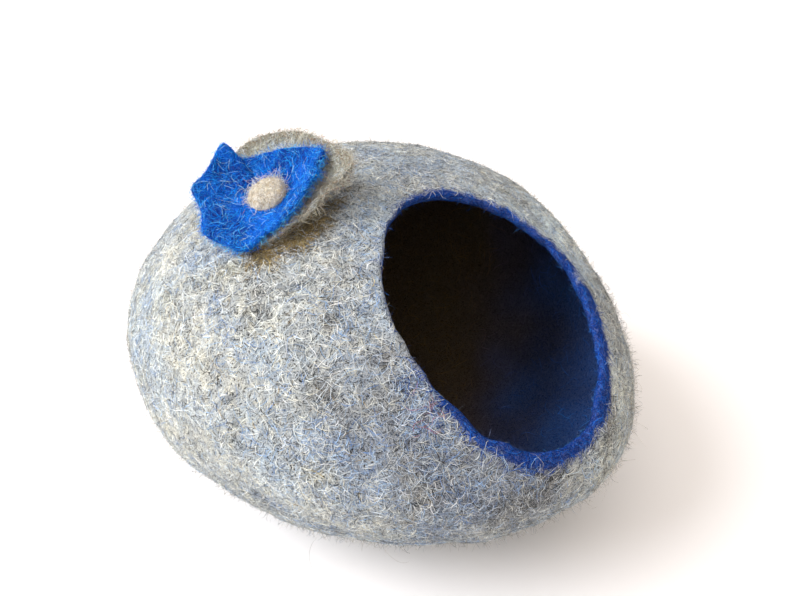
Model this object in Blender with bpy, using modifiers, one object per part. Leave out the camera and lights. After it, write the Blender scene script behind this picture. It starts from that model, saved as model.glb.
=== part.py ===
"""Felt cat cave: a wet-felted egg-shaped shell with a slanting mouth and a felt flower.

Built in metres with +Z up.  The origin is the centre of the flat underside that rests
on the floor, and the mouth faces -Y.  Headings are turned from -Y towards +X, and
pitches are up from the level, both seen from the middle of the body.
"""
import math

import bmesh
import bpy
from mathutils import Matrix, Vector

MM = 0.001

# ---------------------------------------------------------------- driving sizes (metres)
HALF_WIDTH = 0.1950           # half the egg's width, along X, before its swellings
HALF_LENGTH = 0.2220          # half its length, along Y
HALF_HEIGHT = 0.1334          # half its height before the underside is pressed flat
TAPER = 0.1448                # how much narrower the egg is in front than behind
NOSE_DROP = -4.16             # degrees the egg's long axis is turned about X (minus lifts the front)
SIDE_LEAN = 1.50              # degrees the egg is turned about its long axis
MIDDLE_HEIGHT = 0.1180        # height of the body's middle above the floor
BASE_BLEND = 0.0060           # height over which the flat underside curves up to the belly
WALL = 0.0070                 # thickness of the felted wall
LIP_ROUND = 0.0026            # rounding of the mouth's edge
SHELL_SEGMENTS = 72
SHELL_RINGS = 25

# The body is an egg with soft swellings and hollows, as hand felting leaves it.
# name, heading (degrees), pitch (degrees), spread (degrees), swelling (millimetres)
SWELLINGS = (
    ("nose", 0, -10, 35, -8.1),
    ("right_cheek", 55, 0, 35, 1.0),
    ("left_cheek", -55, -5, 35, 5.8),
    ("right_side", 100, 15, 35, 3.9),
    ("left_side", -100, 0, 35, 2.3),
    ("back_left", -145, 10, 35, -3.0),
    ("back_right", 145, 20, 35, -3.0),
    ("tail", 180, 0, 35, -1.3),
    ("crown_back", 180, 60, 35, -2.4),
    ("crown_right", 70, 50, 35, 6.6),
    ("crown_left", -80, 50, 35, 3.2),
    ("brow", 0, 55, 30, 3.1),
    ("chin", -15, -45, 30, -4.0),
    ("keel_left", -90, -45, 35, 4.0),
    ("keel_right", 60, -40, 35, 1.0),
)

# The mouth is cut round this direction, at an opening angle that changes with the bearing
# (0 is towards +X, 90 is up the crown).
MOUTH_HEADING = -8.0
MOUTH_PITCH = 40.0
# bearing (degrees), opening (degrees)
MOUTH = (
    (0, 34.8),
    (20, 35.6),
    (40, 35.5),
    (60, 36.7),
    (80, 38.0),
    (100, 36.7),
    (120, 32.9),
    (140, 29.9),
    (160, 28.4),
    (180, 27.2),
    (200, 27.0),
    (220, 28.7),
    (240, 31.8),
    (260, 33.9),
    (280, 33.5),
    (300, 31.2),
    (320, 30.2),
    (340, 32.2),
)

# The flower is seated on the left of the crown.  Its two petal layers are lobed cups.
FLOWER_HEADING = -110.74
FLOWER_PITCH = 53.67
FLOWER_RIGHT = (0.6926, -0.6916, 0.2050)     # angle 0 of the petal tables, in the seat's plane
PETAL_FELT = 0.0030
PETAL_GAP = 0.0004
PETAL_EDGE = 0.0010                          # rounding of the petals' edges
PETAL_SWEEP = 1.7                            # how late the cup turns up: 1 is a cone
PETAL_SEGMENTS = 72
PETAL_RINGS = 6

# angle (degrees), reach from the middle (millimetres), rise over the middle (millimetres)
INNER_PETALS = (
    (9, 44.4, 28.9),
    (33, 38.0, 25.6),
    (61, 32.6, 22.3),
    (101, 34.4, 18.2),
    (123, 40.4, 16.1),
    (130, 51.3, 29.4),
    (145, 52.9, 21.1),
    (156, 53.1, 17.2),
    (170, 57.5, 15.0),
    (184, 52.0, 8.3),
    (195, 49.9, 5.0),
    (207, 54.3, 0.0),
    (230, 49.5, -3.7),
    (252, 51.4, -3.8),
    (264, 44.5, -1.2),
    (275, 40.4, 3.0),
    (291, 39.9, 7.5),
    (306, 38.6, 12.5),
    (318, 37.0, 16.9),
    (331, 37.8, 21.5),
    (342, 43.5, 26.3),
    (356, 40.2, 26.0),
)
OUTER_PETALS = (
    (11, 56.0, 29.3),
    (30, 48.4, 29.8),
    (54, 48.0, 29.5),
    (78, 52.2, 27.1),
    (97, 55.0, 24.1),
    (109, 57.5, 21.3),
    (119, 57.2, 18.3),
    (150, 50.0, 10.0),
    (180, 45.0, 5.0),
    (210, 42.0, -0.9),
    (235, 40.0, -2.8),
    (265, 39.7, -2.7),
    (285, 39.3, 1.8),
    (300, 39.3, 5.2),
    (315, 41.5, 8.7),
    (330, 45.1, 12.9),
    (342, 50.4, 17.1),
    (349, 59.0, 21.6),
    (355, 63.7, 25.8),
)

# The felt button in the flower's middle is an uneven flat ball that leans to the left.
BUTTON_HALF_WIDTH = 0.0142
BUTTON_HALF_HEIGHT = 0.0056
BUTTON_CENTRE_RISE = 0.0036
BUTTON_SHIFT = -0.0026        # along angle 0 of the petal tables
BUTTON_GAP = 0.0007
BUTTON_LEAN = (-0.6107, -0.0940, 0.7863)
BUTTON_SEGMENTS = 24
BUTTON_RINGS = 12


# ---------------------------------------------------------------- colours
def srgb(code):
    """The linear colour of a six-digit sRGB code."""
    parts = (int(code[i:i + 2], 16) / 255 for i in (0, 2, 4))
    return tuple(v / 12.92 if v <= 0.04045 else ((v + 0.055) / 1.055) ** 2.4 for v in parts) + (1.0,)


def felt(name, code):
    """A matt wool felt in one colour."""
    material = bpy.data.materials.new(name)
    material.use_nodes = True
    surface = material.node_tree.nodes["Principled BSDF"]
    surface.inputs["Base Color"].default_value = srgb(code)
    surface.inputs["Roughness"].default_value = 0.95
    surface.inputs["Sheen Weight"].default_value = 0.3
    material.diffuse_color = srgb(code)
    return material


# ---------------------------------------------------------------- shapes from the tables
def direction(heading, pitch):
    """Unit vector for a heading and a pitch in degrees."""
    h = math.radians(heading)
    p = math.radians(pitch)
    return Vector((math.sin(h) * math.cos(p), -math.cos(h) * math.cos(p), math.sin(p)))


def round_table(rows, column, angle):
    """Value of a column at an angle, joined smoothly round the circle with no overshoot."""
    count = len(rows)
    angle %= 360
    row = next((i for i in range(count) if rows[i][0] > angle), 0) - 1

    def at(index):
        turns, place = divmod(index, count)
        return rows[place][0] + 360 * turns, rows[place][column]

    (a0, v0), (a1, v1), (a2, v2), (a3, v3) = (at(row + step) for step in (-1, 0, 1, 2))
    if a1 > angle:
        angle += 360
    if angle >= a2:
        angle -= 360
    before, across, after = (v1 - v0) / (a1 - a0), (v2 - v1) / (a2 - a1), (v3 - v2) / (a3 - a2)

    def slope(left, right):
        return 0.0 if left * right <= 0 else 2 * left * right / (left + right)

    width = a2 - a1
    t = (angle - a1) / width
    start = slope(before, across) * width
    end = slope(across, after) * width
    return ((2 * t ** 3 - 3 * t ** 2 + 1) * v1 + (t ** 3 - 2 * t ** 2 + t) * start
            + (3 * t ** 2 - 2 * t ** 3) * v2 + (t ** 3 - t ** 2) * end)


SWELLING_FIELD = tuple((direction(heading, pitch), math.radians(spread), size * MM)
                       for _, heading, pitch, spread, size in SWELLINGS)
EGG_TURN = (Matrix.Rotation(math.radians(-SIDE_LEAN), 3, "Y")
            @ Matrix.Rotation(math.radians(NOSE_DROP), 3, "X"))


def body_point(way):
    """The outer face of the body in a direction from its middle, with the underside pressed flat."""
    own = EGG_TURN @ way
    width = 1 + TAPER * own.y
    reach = 1 / math.sqrt((own.x / (HALF_WIDTH * width)) ** 2 + (own.y / HALF_LENGTH) ** 2
                          + (own.z / (HALF_HEIGHT * width)) ** 2)
    for centre, spread, size in SWELLING_FIELD:
        apart = math.acos(max(-1.0, min(1.0, way.dot(centre))))
        reach += size * math.exp(-(apart / spread) ** 2)
    point = way * reach
    height = point.z + MIDDLE_HEIGHT
    if height <= -BASE_BLEND:
        height = 0.0
    elif height < BASE_BLEND:
        height = (height + BASE_BLEND) ** 2 / (4 * BASE_BLEND)
    return Vector((point.x, point.y, height))


def body_normal(way):
    """Outward normal of the body's outer face in a direction."""
    side = way.orthogonal().normalized()
    up = way.cross(side)
    step = 0.002
    along = body_point((way + side * step).normalized()) - body_point((way - side * step).normalized())
    across = body_point((way + up * step).normalized()) - body_point((way - up * step).normalized())
    return along.cross(across).normalized()


def petal_rise(rows, angle, reach):
    """Height of a petal layer's upper face over its middle, at an angle and a distance."""
    edge = round_table(rows, 1, angle) * MM
    return round_table(rows, 2, angle) * MM * (reach / edge) ** PETAL_SWEEP


# ---------------------------------------------------------------- building helpers
def ball(name, segments, rings, collection):
    """A sphere of radius 1 made with the sphere tool, as a named object."""
    bpy.ops.mesh.primitive_uv_sphere_add(segments=segments, ring_count=rings, radius=1)
    thing = bpy.context.object
    thing.name = name
    thing.data.name = name
    for other in list(thing.users_collection):
        other.objects.unlink(thing)
    collection.objects.link(thing)
    return thing


def drop_above(thing, height):
    """Cut away the points of a mesh above a height."""
    cut = bmesh.new()
    cut.from_mesh(thing.data)
    bmesh.ops.delete(cut, geom=[v for v in cut.verts if v.co.z > height], context="VERTS")
    cut.to_mesh(thing.data)
    cut.free()


def thicken(thing, thickness, rounding, steps):
    """Give a sheet its thickness on the side behind its face, and round its edge."""
    wall = thing.modifiers.new("wall", "SOLIDIFY")
    wall.thickness = thickness
    wall.offset = -1
    wall.use_even_offset = True
    edge = thing.modifiers.new("edge", "BEVEL")
    edge.limit_method = "ANGLE"
    edge.angle_limit = math.radians(50)
    edge.width = rounding
    edge.segments = steps


def finish(thing, material):
    """Smooth shading and one material."""
    thing.data.materials.clear()
    thing.data.materials.append(material)
    for face in thing.data.polygons:
        face.use_smooth = True


# ---------------------------------------------------------------- the pieces
def build_shell(collection):
    """The one-piece shell: a ball whose cap is cut off, with its rings led to the mouth's outline."""
    axis = direction(MOUTH_HEADING, MOUTH_PITCH)
    right = direction(MOUTH_HEADING + 90, 0)
    up = axis.cross(right)
    shell = ball("shell", SHELL_SEGMENTS, SHELL_RINGS, collection)
    ring_angle = math.pi / SHELL_RINGS
    drop_above(shell, math.cos(ring_angle / 2))
    for vertex in shell.data.vertices:
        polar = math.acos(max(-1.0, min(1.0, vertex.co.z)))
        bearing = math.atan2(vertex.co.y, vertex.co.x)
        along = (polar - ring_angle) / (math.pi - ring_angle)
        opening = math.radians(round_table(MOUTH, 1, math.degrees(bearing)))
        polar = opening + (math.pi - opening) * along
        way = (axis * math.cos(polar)
               + (right * math.cos(bearing) + up * math.sin(bearing)) * math.sin(polar))
        vertex.co = body_point(way)
    thicken(shell, WALL, LIP_ROUND, 3)
    finish(shell, felt("felt_blue_grey", "8f9aa3"))


def flower_seat():
    """The matrix from the flower's own axes (up is +Z) to the part's, seated on the shell."""
    way = direction(FLOWER_HEADING, FLOWER_PITCH)
    normal = body_normal(way)
    right = Vector(FLOWER_RIGHT)
    right = (right - normal * right.dot(normal)).normalized()
    turn = Matrix((right, normal.cross(right), normal)).transposed().to_4x4()
    return Matrix.Translation(body_point(way)) @ turn


def build_petals(name, rows, middle, seat, material, collection):
    """One layer of petals: the lower half of a ball, spread into a lobed cup and thickened."""
    cup = ball(name, PETAL_SEGMENTS, PETAL_RINGS * 2, collection)
    drop_above(cup, 0.01)
    for vertex in cup.data.vertices:
        along = 1 - math.asin(min(1.0, abs(min(0.0, vertex.co.z)))) / (math.pi / 2)
        angle = math.degrees(math.atan2(vertex.co.y, vertex.co.x))
        reach = round_table(rows, 1, angle) * MM * along
        height = middle + petal_rise(rows, angle, reach)
        turn = math.radians(angle)
        vertex.co = seat @ Vector((reach * math.cos(turn), reach * math.sin(turn), height))
    cup.data.flip_normals()
    thicken(cup, PETAL_FELT, PETAL_EDGE, 2)
    finish(cup, material)


def build_button(middle, seat, collection):
    """The felt button: a flat ball pressed on to the inner petals."""
    button = ball("flower_button", BUTTON_SEGMENTS, BUTTON_RINGS, collection)
    lean = (seat.to_3x3().inverted() @ Vector(BUTTON_LEAN)).normalized()
    turn = lean.to_track_quat("Z", "Y").to_matrix()
    centre = Vector((BUTTON_SHIFT, 0, middle + BUTTON_CENTRE_RISE))
    for vertex in button.data.vertices:
        round_off = Vector((vertex.co.x * BUTTON_HALF_WIDTH, vertex.co.y * BUTTON_HALF_WIDTH * 0.95,
                            vertex.co.z * BUTTON_HALF_HEIGHT))
        point = centre + turn @ round_off
        angle = math.degrees(math.atan2(point.y, point.x))
        floor = middle + petal_rise(INNER_PETALS, angle, math.hypot(point.x, point.y)) + BUTTON_GAP
        point.z = max(point.z, floor)
        vertex.co = seat @ point
    finish(button, felt("felt_cream", "c9bda8"))


def main():
    for thing in list(bpy.data.objects):
        bpy.data.objects.remove(thing, do_unlink=True)
    collection = bpy.data.collections.new("felt_cat_cave")
    bpy.context.scene.collection.children.link(collection)
    build_shell(collection)
    seat = flower_seat()
    outer_middle = PETAL_GAP + PETAL_FELT
    inner_middle = outer_middle + PETAL_GAP + PETAL_FELT
    build_petals("flower_outer", OUTER_PETALS, outer_middle, seat, felt("felt_olive_grey", "8d8b7c"), collection)
    build_petals("flower_inner", INNER_PETALS, inner_middle, seat, felt("felt_royal_blue", "1a4fc0"), collection)
    build_button(inner_middle, seat, collection)


main()
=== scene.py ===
"""The look of the felt cat cave: matted wool, loose fibres, a blue rim and a felt flower.

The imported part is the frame.  Every sheet of felt is drawn again here as a finer sheet of the
same form, and loose wool is laid over it as thin ribbons.  Metres, +Z up, the mouth faces -Y.
"""
import math

import bpy
import numpy as np
from mathutils import Matrix, Vector
from mathutils.bvhtree import BVHTree


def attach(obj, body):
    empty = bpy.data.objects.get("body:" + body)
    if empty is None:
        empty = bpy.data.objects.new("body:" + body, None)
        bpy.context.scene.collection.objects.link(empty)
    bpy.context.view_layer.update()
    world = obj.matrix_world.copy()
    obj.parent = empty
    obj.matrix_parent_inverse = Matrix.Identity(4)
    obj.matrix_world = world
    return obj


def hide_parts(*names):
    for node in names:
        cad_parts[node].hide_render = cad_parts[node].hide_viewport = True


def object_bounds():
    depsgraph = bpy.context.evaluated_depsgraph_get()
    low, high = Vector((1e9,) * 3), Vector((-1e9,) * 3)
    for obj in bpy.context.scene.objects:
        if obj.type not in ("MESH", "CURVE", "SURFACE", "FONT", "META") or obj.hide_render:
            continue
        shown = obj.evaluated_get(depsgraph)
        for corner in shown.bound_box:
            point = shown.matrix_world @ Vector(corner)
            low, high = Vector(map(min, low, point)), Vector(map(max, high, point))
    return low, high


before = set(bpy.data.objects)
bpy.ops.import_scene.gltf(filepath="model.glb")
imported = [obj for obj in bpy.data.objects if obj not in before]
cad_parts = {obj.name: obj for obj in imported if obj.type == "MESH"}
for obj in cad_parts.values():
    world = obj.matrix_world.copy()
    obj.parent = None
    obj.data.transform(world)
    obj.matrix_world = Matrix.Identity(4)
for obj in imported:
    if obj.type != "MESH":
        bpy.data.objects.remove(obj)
cad_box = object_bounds()

MM = 0.001

# ---------------------------------------------------------------- the camera and the light
CAMERA_PLACE = (-0.3428, -0.3638, 0.4598)
CAMERA_RIGHT = (0.7343, -0.6782, 0.0303)
CAMERA_UP = (0.3401, 0.4061, 0.8482)
CAMERA_LENS = 31.74            # millimetres
FILM_WIDTH = 36.0              # millimetres
LAMP_HEADING = -122.0          # the lamp stands to the left and a little behind
LAMP_PITCH = 34.0
LAMP_SOFTNESS = 42.0           # degrees across: a big soft source
LAMP_STRENGTH = 3.4
LAMP_COLOUR = "f4f8ff"
ROOM_HEADING = -110.0          # the room's light is brightest this way and falls off away from it
ROOM_PITCH = 62.0
ROOM_BRIGHT = 1.60
ROOM_DIM = 0.16
ROOM_COLOUR = "fff6ee"
FLOOR_SIDE = 14.0
FLOOR_COLOURS = ("f6f3f1", "f8f7f8")

# ---------------------------------------------------------------- the body, as in the part
HALF_WIDTH = 0.1950            # half the egg's width, along X, before its swellings
HALF_LENGTH = 0.2220           # half its length, along Y
HALF_HEIGHT = 0.1334           # half its height before the underside is pressed flat
TAPER = 0.1448                 # how much narrower the egg is in front than behind
NOSE_DROP = -4.16              # degrees the egg's long axis is turned about X (minus lifts the front)
SIDE_LEAN = 1.50               # degrees the egg is turned about its long axis
MIDDLE_HEIGHT = 0.1180         # height of the body's middle above the floor
BASE_BLEND = 0.0060            # height over which the flat underside curves up to the belly
WALL = 0.0070                  # thickness of the felted wall
LIP_BULGE = 0.0030             # how far the part's wall rounds out at the mouth's edge
SHELL_COLUMNS = 224
SHELL_ROWS = 130
LINING_ROWS = 46
LIP_STEPS = 9
LIP_ARC = 9.0                  # millimetres round the wall's edge, from one face to the other
BASE_CALM = 0.025              # the felt is flat underneath and as uneven as elsewhere this far up
EDGE_CALM = 0.020              # and so it is this far in from the mouth's edge
FLOWER_FOOT = 0.026            # radius about the flower's middle where no loose wool is laid
HAIR_ROOM = 0.015              # how far a stray hair may stand out beyond the part's box
RIBBON_FLOOR = 0.0002          # the lowest height of a fibre, just over the floor
RIM_FIBRES = 5200              # how many blue fibres wrap the mouth's edge
LINING_FIBRES = 4500           # and how many lie on the inside
SHELL_SEED = 11                # of the random draws for the shell's loose wool
FLOWER_SEED = 17               # and for the flower's

# name, heading (degrees), pitch (degrees), spread (degrees), swelling (millimetres)
SWELLINGS = (
    ("nose", 0, -10, 35, -8.1),
    ("right_cheek", 55, 0, 35, 1.0),
    ("left_cheek", -55, -5, 35, 5.8),
    ("right_side", 100, 15, 35, 3.9),
    ("left_side", -100, 0, 35, 2.3),
    ("back_left", -145, 10, 35, -3.0),
    ("back_right", 145, 20, 35, -3.0),
    ("tail", 180, 0, 35, -1.3),
    ("crown_back", 180, 60, 35, -2.4),
    ("crown_right", 70, 50, 35, 6.6),
    ("crown_left", -80, 50, 35, 3.2),
    ("brow", 0, 55, 30, 3.1),
    ("chin", -15, -45, 30, -4.0),
    ("keel_left", -90, -45, 35, 4.0),
    ("keel_right", 60, -40, 35, 1.0),
)

# Where the blue begins on the mouth's edge: bearing (degrees), then 0 at the outer face, 1 at the inner
# face and less than 0 out on the outer face.
RIM_BLUE = (
    (0, 0.02),
    (60, 0.08),
    (100, 0.12),
    (140, 0.46),
    (185, 0.60),
    (205, 0.36),
    (225, 0.02),
    (250, -0.20),
    (280, -0.22),
    (320, -0.10),
)
BLUE_FADE = (-0.36, 0.20)      # where the blue wool starts and is full, beside that line
GREY_FADE = (-0.55, 0.05)      # where the loose grey wool thins out and ends, beside that line
BLUE_OVER_RED = 3              # the felt counts as blue where its blue is over so many times its red
LINING_FADE = (3.0, 24.0)      # where the rim's blue starts and ends to turn to the lining's (millimetres)

# How far the mouth's edge rounds out, fuller low down: bearing (degrees), millimetres.
RIM_FULLNESS = (
    (0, 6.0),
    (30, 4.0),
    (60, 3.0),
    (200, 3.0),
    (225, 4.4),
    (250, 6.6),
    (275, 7.4),
    (300, 6.6),
    (330, 7.0),
)
HEM_SWELL = 0.225              # extra thickness by the edge, as a share of its extra fullness
HEM_DEPTH = 0.007              # how far from the edge that thickness fades
EDGE_WAVER = (0.22, 13)        # unevenness of a sheet's edge: share of its fullness, size (millimetres)

# How uneven the felt is outside and inside: height and size of each kind of lump (millimetres).
LUMPS = ((0.9, 46), (0.45, 17), (0.22, 8))
DENTS = ((0.7, 34), (0.35, 14))

MOUTH_HEADING = -8.0
MOUTH_PITCH = 40.0
# bearing (degrees), opening (degrees)
MOUTH = (
    (0, 34.8),
    (20, 35.6),
    (40, 35.5),
    (60, 36.7),
    (80, 38.0),
    (100, 36.7),
    (120, 32.9),
    (140, 29.9),
    (160, 28.4),
    (180, 27.2),
    (200, 27.0),
    (220, 28.7),
    (240, 31.8),
    (260, 33.9),
    (280, 33.5),
    (300, 31.2),
    (320, 30.2),
    (340, 32.2),
)

# ---------------------------------------------------------------- the flower, as in the part
FLOWER_HEADING = -110.74
FLOWER_PITCH = 53.67
FLOWER_RIGHT = (0.6926, -0.6916, 0.2050)     # angle 0 of the petal tables, in the seat's plane
PETAL_FELT = 0.0030
PETAL_GAP = 0.0004
PETAL_BULGE = 0.0012           # how far the petals' edges round out
PETAL_SWEEP = 1.7              # how late the cup turns up: 1 is a cone
PETAL_COLUMNS = 144
PETAL_ROWS = 26
PETAL_EDGE_STEPS = 5
PETAL_FREE = (0.012, 0.030)    # the petals are flat up to the first reach, and uneven from the second
OUTER_LUMPS = ((0.35, 15), (0.12, 6))        # height and size (millimetres)
INNER_LUMPS = ((0.45, 15), (0.12, 6))

# angle (degrees), reach from the middle (millimetres), rise over the middle (millimetres)
INNER_PETALS = (
    (9, 44.4, 28.9),
    (33, 38.0, 25.6),
    (61, 32.6, 22.3),
    (101, 34.4, 18.2),
    (123, 40.4, 16.1),
    (130, 51.3, 29.4),
    (145, 52.9, 21.1),
    (156, 53.1, 17.2),
    (170, 57.5, 15.0),
    (184, 52.0, 8.3),
    (195, 49.9, 5.0),
    (207, 54.3, 0.0),
    (230, 49.5, -3.7),
    (252, 51.4, -3.8),
    (264, 44.5, -1.2),
    (275, 40.4, 3.0),
    (291, 39.9, 7.5),
    (306, 38.6, 12.5),
    (318, 37.0, 16.9),
    (331, 37.8, 21.5),
    (342, 43.5, 26.3),
    (356, 40.2, 26.0),
)
OUTER_PETALS = (
    (11, 56.0, 29.3),
    (30, 48.4, 29.8),
    (54, 48.0, 29.5),
    (78, 52.2, 27.1),
    (97, 55.0, 24.1),
    (109, 57.5, 21.3),
    (119, 57.2, 18.3),
    (150, 50.0, 10.0),
    (180, 45.0, 5.0),
    (210, 42.0, -0.9),
    (235, 40.0, -2.8),
    (265, 39.7, -2.7),
    (285, 39.3, 1.8),
    (300, 39.3, 5.2),
    (315, 41.5, 8.7),
    (330, 45.1, 12.9),
    (342, 50.4, 17.1),
    (349, 59.0, 21.6),
    (355, 63.7, 25.8),
)
BUTTON_HALF_WIDTH = 0.0142
BUTTON_HALF_HEIGHT = 0.0056
BUTTON_CENTRE_RISE = 0.0036
BUTTON_SHIFT = -0.0026         # along angle 0 of the petal tables
BUTTON_GAP = 0.0007
BUTTON_LEAN = (-0.6107, -0.0940, 0.7863)
BUTTON_COLUMNS = 72
BUTTON_ROWS = 36

# ---------------------------------------------------------------- the wools, and the painted shades among them, as sRGB hex
RIM_COLOUR = "0a3484"
RIM_INSIDE_COLOUR = "10388a"
# The brown at the back of the lining is painted shade deep inside the cave.
LINING_WOOLS_AND_SHADE = ("203464", "285aa8", "5e4a26")          # deep blue, brighter blue, brown at the back
OUTER_PETAL_WOOLS = ("bac8ca", "b0ae94", "d8dace")     # grey, olive, cream
# The grey petals' underside, in ochre and brown, is painted shade under the petals, over a wool with some
# ochre of its own.
PETAL_UNDERSIDE_SHADE = ("806a42", "5c4e38")               # ochre, brown
INNER_PETAL_WOOLS = ("00348e", "0062d2")               # deeper and brighter royal blue
BUTTON_WOOLS = ("ece8dc", "b8ab90")                    # cream, fawn
WOOLS = {
    "cream": "dadad0",
    "sky": "bacad6",
    "denim": "7490b6",
    "grey": "a6aeaf",
    "brown": "6a665e",
    "olive": "96947a",
    "ochre": "746646",
}
# How each wool is spread over the body: share, size of its patches in millimetres, how patchy it is.
BLEND = {
    "cream": (1.00, 34, 0.75),
    "sky": (0.80, 30, 0.80),
    "denim": (0.20, 22, 1.00),
    "grey": (1.00, 40, 0.50),
    "brown": (0.35, 26, 0.90),
    "olive": (0.30, 24, 1.10),
    "ochre": (0.04, 24, 0.50),
}
# Where a wool is thicker on the body, or where a wool's colour stands in for painted shade, as marked below:
# name, heading, pitch, spread (degrees), wool, gain.
TINTS = (
    ("left_cheek", -88, 14, 26, "cream", 0.8),
    ("left_edge", -110, 16, 13, "sky", 1.0),
    ("left_edge_low", -106, 0, 14, "denim", 0.3),
    ("left_foot", -66, -5, 14, "denim", 1.1),
    ("front_sky", -46, 8, 18, "sky", 0.9),
    ("belly", -38, -6, 15, "denim", 3.0),
    ("belly_right", -14, -8, 12, "denim", 0.9),
    # The brown on the chin and on the right side is partly the wool's own colour and partly painted shade on
    # the side away from the lamp.
    ("chin_right", -6, -3, 10, "brown", 0.8),
    ("chin", -27, 7, 12, "denim", 0.9),
    ("chin_brown", -14, 2, 14, "brown", 0.9),
    ("right_cheek", 6, 5, 14, "brown", 0.4),
    ("right_edge", 22, 10, 13, "cream", 1.2),
    ("right_side", 30, 16, 13, "brown", 1.3),
    # The pale sky wool at the top right is partly painted light: the glow of backlit fuzz along that edge.
    ("right_top", 50, 38, 18, "sky", 2.0),
    ("mouth_left", -56, 36, 12, "sky", 0.7),
    ("mouth_low", -22, 13, 6, "denim", 2.0),
    ("mouth_low_left", -34, 21, 6, "denim", 1.6),
    ("mouth_side", -56, 51, 9, "sky", 1.0),
    ("mouth_corner", -47, 53, 6, "ochre", 2.6),
    # The ochre round and under the flower's petals is painted shadow of the petals on the body.
    ("by_petal_top", -102, 74, 4, "ochre", 4.2),
    ("by_petal_right", -90, 67, 4, "ochre", 4.6),
    ("by_petal_low", -85, 59, 5, "ochre", 4.6),
    ("under_petal", -87, 51, 5, "ochre", 4.6),
    ("under_petal_tip", -91, 43, 5, "ochre", 4.6),
    ("crown", 90, 80, 24, "sky", 2.0),
    ("crown_left", -60, 68, 11, "sky", 3.4),
    ("crown_denim", 100, 80, 18, "denim", 2.4),
)

# Painted shade and painted light on the body, darker or lighter than the lamp and the room leave it: below 1
# is painted shade, such as the petals' shadow beside the flower's foot, and above 1 painted light, such as
# the glow of backlit fuzz at the top right.  name, heading, pitch, spread (degrees), share of the light
# left.
PAINTED_SHADES = (
    ("front", -42, 14, 14, 0.72),
    ("front_high", -46, 30, 14, 0.86),
    ("mouth_side", -57, 51, 9, 0.85),
    ("left_high", -79, 31, 6, 1.06),
    ("chin", -21, 2, 16, 0.58),
    ("crown", 70, 80, 18, 0.86),
    ("by_petal_top", -102, 74, 4, 0.80),
    ("by_petal_right", -91, 67, 4, 0.70),
    ("by_petal_low", -86, 59, 5, 0.66),
    ("under_petal", -89, 51, 5, 0.70),
    ("right_top", 50, 36, 16, 1.20),
    ("right_edge", 20, 11, 12, 1.04),
    ("right_side", 32, 16, 13, 0.96),
    ("right_cheek", 2, 4, 14, 1.20),
    ("belly_right", -16, -7, 12, 1.03),
    ("left_edge", -108, 10, 22, 1.05),
    ("left_low", -80, 9, 10, 0.96),
)
# How strongly the painted shade works on red, green and blue: where it is deeper it is also bluer.
FELT_SHADE = (2.5, 2.4, 2.0)
FIBRE_SHADE = (0.75, 0.70, 0.54)
FELT_DEPTH = 0.82              # how light the matted felt is beside its loose fibres
TUFT = 6.6                     # millimetres across a small curly tuft
TUFT_RANGE = (0.36, 0.64)      # noise values in a dimple and on a tuft
DIMPLE_TINT = (0.74, 0.79, 0.86, 1.0)
TUFT_TINT = (1.21, 1.20, 1.16, 1.0)
PINK_SPOT = (-35, 17, math.degrees(0.05))    # heading, pitch, spread (degrees) of the few pink fibres
FUZZY_SIDE = (25, 15, math.degrees(0.6))     # and of the side where the fuzz is thicker

# Each felt: how light its pits are, strands' spacing (millimetres), how much paler they are, relief
# (millimetres), tint and strength of the bloom of fine hair, and strength of the tufts.  Real strands
# lie a few hundredths of a millimetre apart, so they are drawn as coarse as they need to be to show.
FELTS = {
    # Grey, blue, cream and brown wool carded together and felted with soap and water: matt and mottled,
    # matted into small pale tufts with bluer dimples between them.
    "wet_felted_heather_wool": (0.0, 1.9, 0.20, 0.5, "e8f0f2", 0.25, 1.0),
    # Dyed wool, the inner layer of the same sheet: closer and more even, with hardly any bloom.
    "wet_felted_blue_wool": (0.5, 2.0, 0.06, 0.5, "2c66c0", 0.05, 0.0),
    # Grey wool with olive and ochre in it, felted thin: hairy, with a dusty bloom.
    "wet_felted_olive_grey_wool": (0.05, 1.4, 0.2, 0.45, "e6e8e4", 0.25, 0.6),
    # Fine wool dyed royal blue and felted hard: smooth and saturated, with a faint blue bloom.
    "wet_felted_royal_blue_wool": (0.4, 1.9, 0.02, 0.4, "0080ff", 0.10, 0.0),
    # Curly cream wool stabbed together with barbed needles: dense and pitted, with short loose ends.
    "needle_felted_cream_wool": (0.5, 1.3, 0.3, 0.3, "fff6e4", 0.25, 0.0),
}
STRAND_LAYERS = ((1.0, 0.085), (0.7, 0.1))   # spacing beside the felt's own, thickness of a strand
SWIRL_SIZE = 3.2               # spacing of the swirls that bend the strands, beside the strands' own
SWIRL_PUSH = 3.0               # how far they push a strand, in spacings of the strands
PIT_SIZE = 0.9                 # spacing of the pits, beside the strands'
PIT_RANGE = (0.42, 0.54)       # noise values in a pit and beside it
FIBRE_STRETCH = 2.2            # millimetres between the darker stretches of a loose fibre
COLOUR_A, COLOUR_B, COLOUR_OUT = 6, 7, 2     # the Mix node's sockets for colours

# Loose wool on the flower.  Lying fibres: name, part, colours, how many, length, curl, lift, width
# (millimetres), tint of the bloom.
PETAL_FIBRES = (
    ("flower_outer_fibres", "outer", ("ccd4d0", "e8eae2", "b6b6a2", "7a7866", "bccace", "dae0de", "a29a7c"),
     3600, 9, 7, 1.3, 0.28, "dfe8e8"),
    ("flower_inner_fibres", "inner", ("0060d6", "0a7eea", "0046a6", "1c98f6", "003488"),
     4600, 9, 11, 0.9, 0.26, "2f90ff"),
    ("flower_pale_fibres", "inner", ("5cb4f8", "98d4f8", "44a4f6", "c0e8ec"),
     620, 11, 13, 1.8, 0.17, "5cb0ff"),
    ("flower_button_fibres", "button", ("f4f0e4", "e8e2d2", "b8a684", "faf8f0", "dac8a4"),
     1600, 7, 4, 1.2, 0.28, "f4f0e4"),
)
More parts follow.
